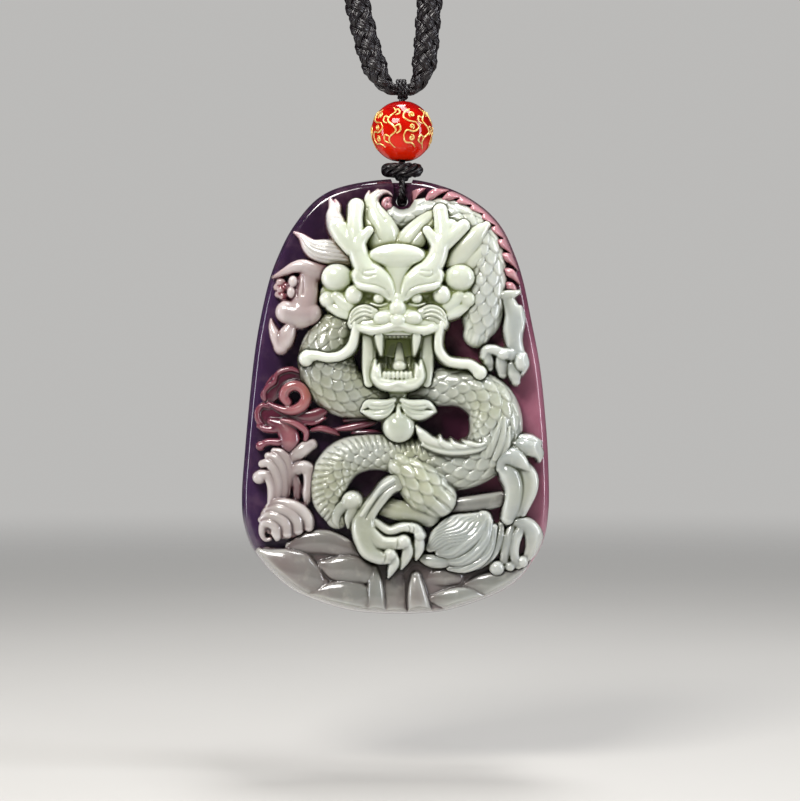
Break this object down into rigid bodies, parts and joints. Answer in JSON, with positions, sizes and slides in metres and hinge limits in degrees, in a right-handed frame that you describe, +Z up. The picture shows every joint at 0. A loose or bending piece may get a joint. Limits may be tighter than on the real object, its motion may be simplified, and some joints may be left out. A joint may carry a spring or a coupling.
{
  "type": "carved jade pendant necklace",
  "caption": "Carved jade plaque with a dragon in high relief, hanging by a thread loop and a red bead from a closed braided neck cord.",
  "frame": {"origin": "where the cord lies on the back of the neck or hangs on a hook, on the inner side of the loop", "axes": "+Z up, -Y out of the carved face towards the viewer, +X to the viewer's right"},
  "size_m": [0.1148, 0.0155, 0.355],
  "materials": {
    "braided_cord": "glossy braided nylon, near-black brown",
    "thread": "waxed thin thread",
    "agate": "polished translucent red agate with gilt engraved strokes",
    "jade": "polished jade, pale green dragon on a purple slab"
  },
  "bodies": {
    "cord_and_bead": {"neck_cord": "braided_cord", "tie_thread": "thread", "bead": "agate", "lower_knot": "thread"},
    "plaque": {"jade_plaque": "jade"}
  },
  "joints": [
    {"name": "plaque_swing", "type": "hinge", "parent": "cord_and_bead", "child": "plaque", "pos_m": [0, 0, -0.28301], "axis": [0, 1, 0], "range_deg": [-10, 10]}
  ]
}
